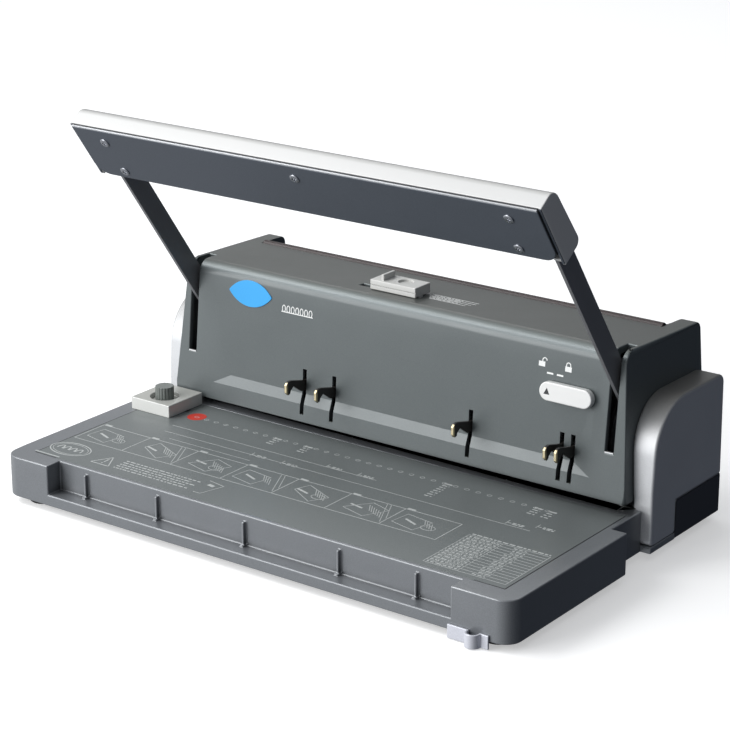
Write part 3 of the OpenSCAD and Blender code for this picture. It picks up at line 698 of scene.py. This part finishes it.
def emblem_and_warning(bm, rng):
    """The oval with four wire loops, the warning triangle, its lines of print and a small page."""
    centre = (-167, -119)
    ellipse(bm, table_plane, centre, (15.5, 10), 0.7, 30)
    ellipse(bm, table_plane, centre, (13.6, 8.2), 0.35, 30)
    for i in range(4):
        loop = (centre[0] - 8 + 5.2 * i, centre[1] - 2)
        path(bm, table_plane, arc_points(loop, (2.1, 5), 0, 180, 8), 1.0)
    stroke(bm, table_plane, (-184, -134), (-163, -134), 1.0)
    triangle = [(-141.5, -127.5), (-126.5, -127.5), (-134, -114), (-141.5, -127.5)]
    path(bm, table_plane, triangle, 0.7)
    stroke(bm, table_plane, (-134, -118), (-134, -123), 0.9)
    stroke(bm, table_plane, (-134.5, -125), (-133.5, -125), 0.9)
    for row in range(5):
        dashes(bm, table_plane, (-123, -113.5 - 3.2 * row), 62 - 5 * (row % 2), 1.0, rng)
    path(bm, table_plane, [(-58, -108), (-44.5, -110.5), (-49.5, -128), (-55, -128)], 0.45)
    stroke(bm, table_plane, (-54.5, -113.5), (-49.5, -114.5), 2.6)


def paper_marks(bm, rng):
    """The row of hole marks, the long paper lines and the size marks."""
    holes, pitch, row_y = 34, 8.467, -24.2
    for i in range(holes):
        ellipse(bm, table_plane, ((i - (holes - 1) / 2) * pitch, row_y), (1.7, 1.2), 0.32, 10)
    stroke(bm, table_plane, (-143, -45.5), (26, -45.5), 0.32)
    stroke(bm, table_plane, (-140, -57), (148, -57), 0.32)
    stroke(bm, table_plane, (-128, -66), (-60, -66), 0.28)
    for x, y in ((-66, -55.5), (-41, -55.5), (-14, -43), (11, -43), (129.5, -52.5), (148, -47.5)):
        stroke(bm, table_plane, (x, y + 2.5), (x, y - 3), 0.5)
        stroke(bm, table_plane, (x, y - 1), (x + 3, y - 1), 0.5)
        for row in range(2):
            dashes(bm, table_plane, (x + 4, y - 0.3 - 1.6 * row), 8, 1.1, rng)
    for x, depth in ((-70, 12), (-44.5, 12), (66, 26), (133, 12), (143, 12)):
        stroke(bm, table_plane, (x - 2.5, row_y), (x + 3.5, row_y), 1.6)
        for row in range(int(depth / 3.4)):
            dashes(bm, table_plane, (x - 2, row_y - 3.2 - 3.3 * row), 5.5, 1.0, rng)


def size_table(bm, rng):
    """The ruled table of sheet counts and wire sizes, at the table's front right."""
    left, middle, right, top, bottom = 122, 146, 179, -83, -131
    rows = 13
    for x in (left, middle, right):
        stroke(bm, table_plane, (x, top), (x, bottom), 0.4)
    dashes(bm, table_plane, (left + 1, top + 2), right - left - 2, 1.2, rng)
    for row in range(rows + 1):
        y = top - (top - bottom) * row / rows
        stroke(bm, table_plane, (left, y), (right, y), 0.3)
        if row < rows:
            dashes(bm, table_plane, (left + 1.5, y - 1.9), middle - left - 3, 1.1, rng)
            dashes(bm, table_plane, (middle + 9 + row % 3, y - 1.9), 9, 0.9, rng)
    for x in (left + 6.5, left + 12.5, left + 18.5):
        stroke(bm, table_plane, (x, top), (x, bottom), 0.28)


def print_table():
    """All the pale print on the paper table, and its red spot."""
    rng = random.Random(11)
    bm = bmesh.new()
    instruction_strip(bm)
    emblem_and_warning(bm, rng)
    paper_marks(bm, rng)
    size_table(bm, rng)
    new_piece("table_print", bm, "ink_pale", "machine", smooth=False)
    bm = bmesh.new()
    disc = arc_points((-140.2, -23.6), (6.6, 6.6), 0, 360, 40)[:-1]
    prism(bm, table_plane, disc, INK_ROOT, 0.04)
    new_piece("red_mark", bm, "ink_red", "machine", smooth=False)


# ---- print on the housing ----

def recess_depth(height):
    """How far the face's shallow recess lies back at a height along the face, in millimetres."""
    foot, top, deepest = 19.5, 76, 2
    return deepest * (top - height) / (top - foot) if foot < height < top else 0.0


def face_at(height):
    """The face's plane, moved back to the surface at a height along the face."""
    return face_plane @ Matrix.Translation((0, 0, -recess_depth(height) * MM))


def padlock(bm, x, y, is_open):
    """A padlock picture, with its shackle swung aside when it is open."""
    plane = face_at(y)
    body = [(x - 2.3, y - 1.9), (x + 2.3, y - 1.9), (x + 2.3, y + 1.3), (x - 2.3, y + 1.3)]
    prism(bm, plane, body, -0.05, FACE_INK_RISE)
    shift = 1.9 if is_open else 0.0
    arc = arc_points((x + shift, y + 2.2), (1.5, 1.6), 180, 0, 10)
    legs = [(arc[0][0], y + 1.2)] + arc + [(arc[-1][0], y + (2.2 if is_open else 1.2))]
    path(bm, plane, legs, 0.65, FACE_INK_RISE)


def print_face():
    """The padlocks and two dashes over the lock button, and a row of wire loops beside the badge."""
    lock_y, dash_y = 77.2, 71.9
    bm = bmesh.new()
    padlock(bm, 113.5, lock_y, True)
    padlock(bm, 132.5, lock_y, False)
    for x in (119.7, 126.9):
        stroke(bm, face_at(dash_y), (x - 2.3, dash_y), (x + 2.3, dash_y), 1.1, FACE_INK_RISE)
    loops, pitch, left, height, line = 7, 3.7, -88.5, 74.6, 0.6
    plane = face_at(height)
    for i in range(loops):
        loop = arc_points((left + pitch * i, height), (1.25, 2.3), -60, 240, 14)
        path(bm, plane, loop, line, FACE_INK_RISE)
    foot, right = height - 2.2, left + pitch * (loops - 1)
    stroke(bm, plane, (left - 2, foot), (right + 2, foot), line, FACE_INK_RISE)
    new_piece("face_print", bm, "ink_white", "machine", smooth=False)


def print_lock():
    """The small dark pointer on the lock button."""
    button_rise, half_width, foot, tip = 5.3, 2.1, 59.9, 64.1
    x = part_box("lock_slider")[0].x / MM + 5.6
    button_front = face_plane @ Matrix.Translation((0, 0, button_rise * MM))
    bm = bmesh.new()
    prism(bm, button_front, [(x - half_width, foot), (x + half_width, foot), (x, tip)], INK_ROOT, INK_RISE)
    new_piece("lock_pointer", bm, "dark_ink_and_shadow", "lock", smooth=False)


def print_top():
    """The size selector's scale on the housing's top."""
    rng = random.Random(5)
    bm = bmesh.new()
    pitch = 3.2
    face_foot = (face_y - brow_y) / MM
    for row, (first, last) in enumerate(((8, 44), (8, 44), (10, 42), (12, 40))):
        y = face_foot + 41 - pitch * row
        stroke(bm, top_plane, (first, y), (last, y), 0.4)
    for row in range(3):
        dashes(bm, top_plane, (11, face_foot + 39.4 - pitch * row), 22, 0.7, rng)
    new_piece("top_print", bm, "ink_white", "machine", smooth=False)


# ---- scene ----

make_camera()
make_world()
make_floor()
area_light("key", place=(-1.1, -1.9, 0.75), size=(1.7, 1.3), power=41)
area_light("top", place=(-1.2, -0.7, 1.65), size=(1.1, 0.9), power=19)
area_light("back", place=(-1.2, 1.6, 1.5), size=(1.0, 0.8), power=4)
bpy.context.scene.view_settings.view_transform = "Standard"

materials = make_materials()
dress_nodes()
dress_screws("handle_screws", arm_plane @ facing_down, head=1.5, dome=0.9)
dress_screws("pan_screws", facing_down, head=1.6, dome=1.6)
dress_screws("rear_screws", facing_back, head=1.5, dome=1.5)
handle_edge_light_and_shade()
slot_lip_highlights()
table_seam()
print_table()
print_face()
print_lock()
print_top()
